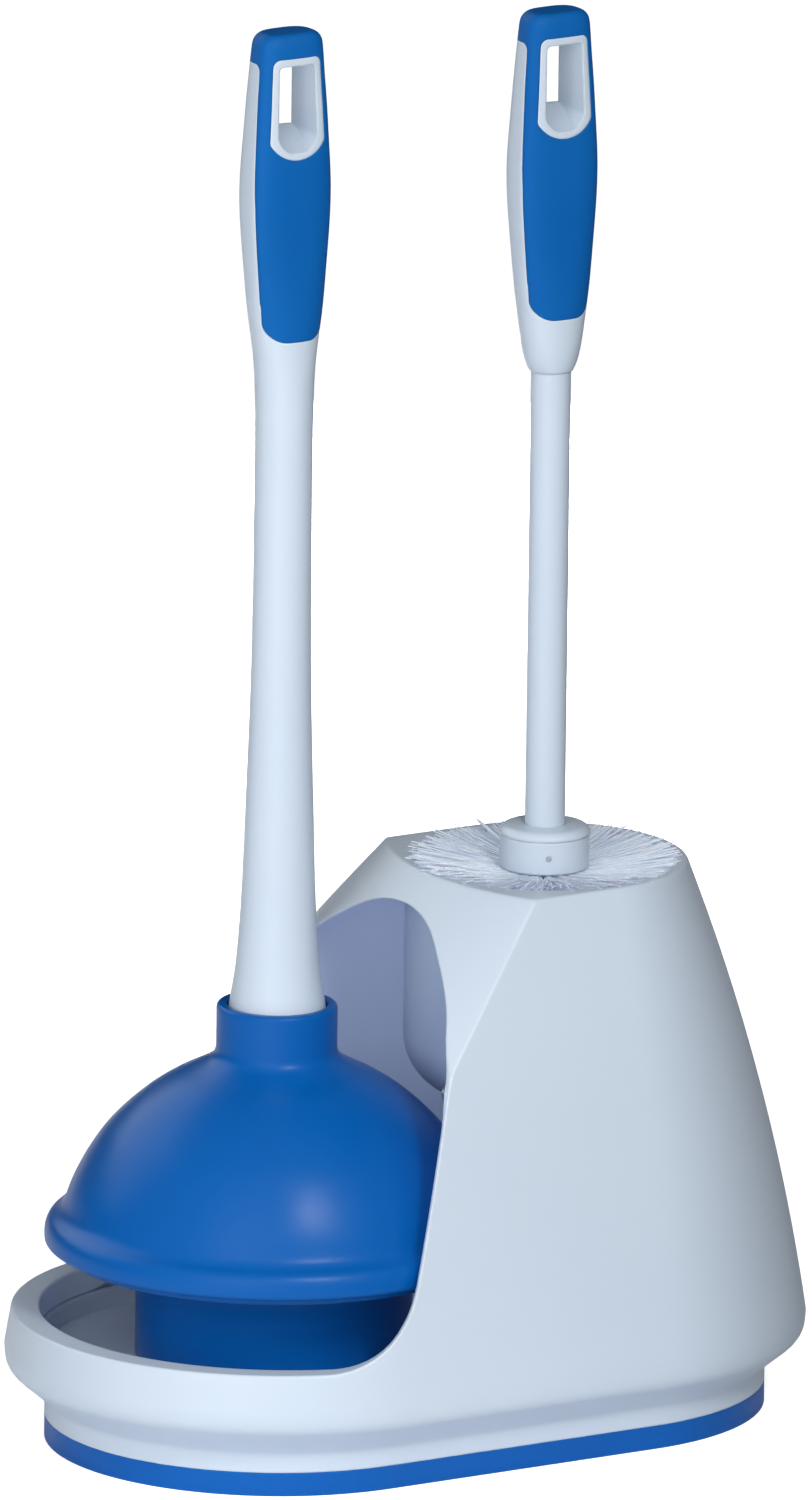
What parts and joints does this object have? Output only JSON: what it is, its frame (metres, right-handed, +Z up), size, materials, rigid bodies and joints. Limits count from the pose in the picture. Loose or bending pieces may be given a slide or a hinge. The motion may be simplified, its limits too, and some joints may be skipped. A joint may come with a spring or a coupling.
{
  "type": "toilet plunger and brush set with caddy",
  "caption": "Cup plunger with flange and long handle, standing with a bowl brush in one shared caddy with an open drip bay and a hooded brush well.",
  "frame": {"origin": "on the floor, under the centre of the caddy's base", "axes": "+Z up; +X from the plunger to the brush; -Y is the side that carries the soft grip pads"},
  "size_m": [0.2808, 0.1782, 0.477],
  "materials": {
    "white_plastic": "satin moulded",
    "blue_plastic": "satin moulded",
    "blue_grip": "matt soft-touch",
    "blue_rubber": "semi-gloss moulded rubber",
    "dark_rubber": "matt",
    "steel": "plain wire",
    "bristle": "clear nylon filament"
  },
  "bodies": {
    "caddy": {"caddy_shell": "white_plastic", "drip_pan": "white_plastic", "brush_well": "white_plastic", "base_plate": "blue_plastic", "base_foot_pads": "dark_rubber"},
    "cup": {"plunger_cup": "blue_rubber", "plunger_flange": "blue_rubber"},
    "plunger_stick": {"plunger_handle": "white_plastic", "plunger_grip_pad": "blue_grip", "plunger_hang_sleeve": "white_plastic", "plunger_spigot": "white_plastic"},
    "brush": {"brush_handle": "white_plastic", "brush_grip_pad": "blue_grip", "brush_hang_sleeve": "white_plastic", "brush_shaft": "white_plastic", "brush_ferrule": "white_plastic", "brush_ferrule_pin": "steel", "brush_core": "white_plastic", "brush_tufts": "bristle"}
  },
  "joints": [
    {"name": "plunger_slide", "type": "slide", "parent": "caddy", "child": "cup", "axis": [-0.8387, 0, 0.5446], "range_m": [0, 0.21]},
    {"name": "cup_press", "type": "slide", "parent": "cup", "child": "plunger_stick", "axis": [0, 0, -1], "range_m": [0, 0.025], "stiffness_N_per_m": 900, "deforming": ["plunger_cup"]},
    {"name": "brush_lift", "type": "slide", "parent": "caddy", "child": "brush", "axis": [0, 0, 1], "range_m": [0, 0.2]}
  ]
}
